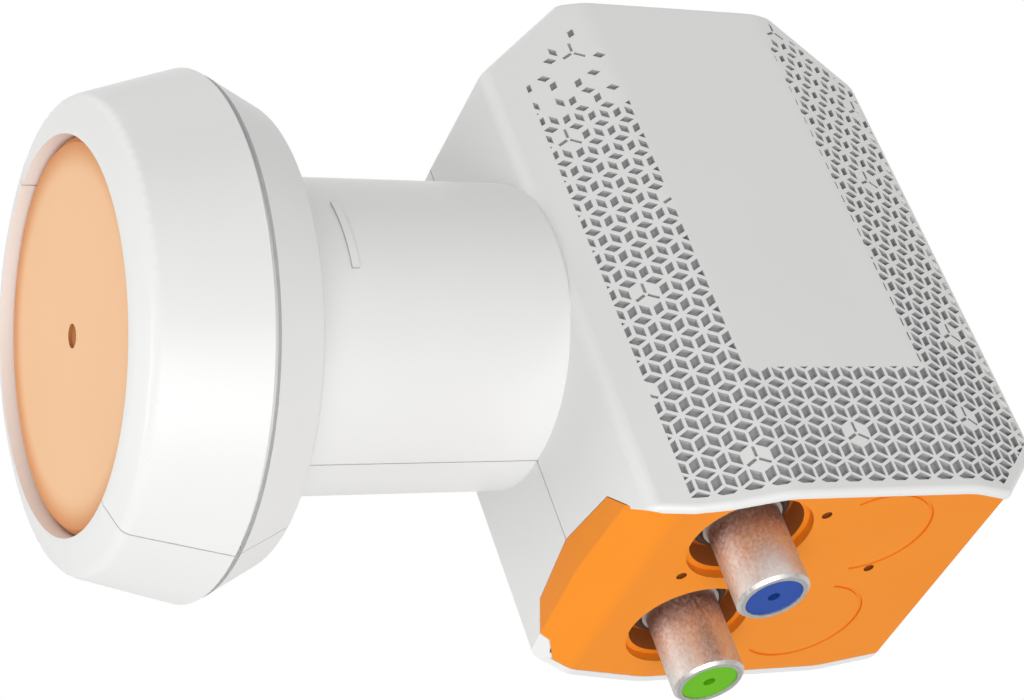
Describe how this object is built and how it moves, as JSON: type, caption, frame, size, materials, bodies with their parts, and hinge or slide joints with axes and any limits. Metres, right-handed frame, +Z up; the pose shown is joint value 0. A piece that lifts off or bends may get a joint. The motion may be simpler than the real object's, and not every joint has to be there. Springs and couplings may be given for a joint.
{
  "type": "satellite LNB",
  "caption": "Satellite dish LNB with a capped horn, round clamp neck and tall chamfered box with sunk cube pattern, and coax outlets in wells of a coloured base cover.",
  "frame": {"origin": "on the horn axis, at the middle of the neck that a feed clamp holds", "axes": "+X along the horn axis from the mouth towards the box's back, +Z up away from the outlets, patterned side towards -Y"},
  "size_m": [0.1192, 0.0656, 0.0889],
  "materials": {
    "white_plastic": "satin",
    "peach_plastic": "satin",
    "orange_plastic": "satin",
    "blue_plastic": "satin",
    "green_plastic": "satin",
    "nickel": "plated",
    "cast_alloy": "as cast",
    "brass": "bright",
    "bush_plastic": "waxy",
    "steel": "zinc plated",
    "seal_rubber": "matte",
    "board_laminate": "satin",
    "chip_resin": "matte",
    "ferrite": "matte",
    "absorber_foam": "matte"
  },
  "bodies": {
    "root": {"absorber_pad": "absorber_foam", "base_cover": "orange_plastic", "blue_barrel": "nickel", "blue_barrel_seal": "seal_rubber", "blue_contact": "brass", "blue_insert": "blue_plastic", "board_screws": "steel", "connector_plate": "cast_alloy", "crystal": "steel", "far_converter_chip": "chip_resin", "far_output_choke": "ferrite", "far_shell": "white_plastic", "feed_cap": "peach_plastic", "feed_cap_seal": "seal_rubber", "feed_chassis": "cast_alloy", "green_barrel": "nickel", "green_barrel_seal": "seal_rubber", "green_contact": "brass", "green_insert": "green_plastic", "horizontal_probe": "brass", "isolation_pin": "brass", "main_board": "board_laminate", "near_converter_chip": "chip_resin", "near_output_choke": "ferrite", "near_shell": "white_plastic", "plate_gasket": "seal_rubber", "plate_screws": "steel", "regulator": "chip_resin", "side_bush": "bush_plastic", "switch_chip": "chip_resin", "tray_bush": "bush_plastic", "upright_bush": "bush_plastic", "vertical_probe": "brass"}
  },
  "joints": []
}
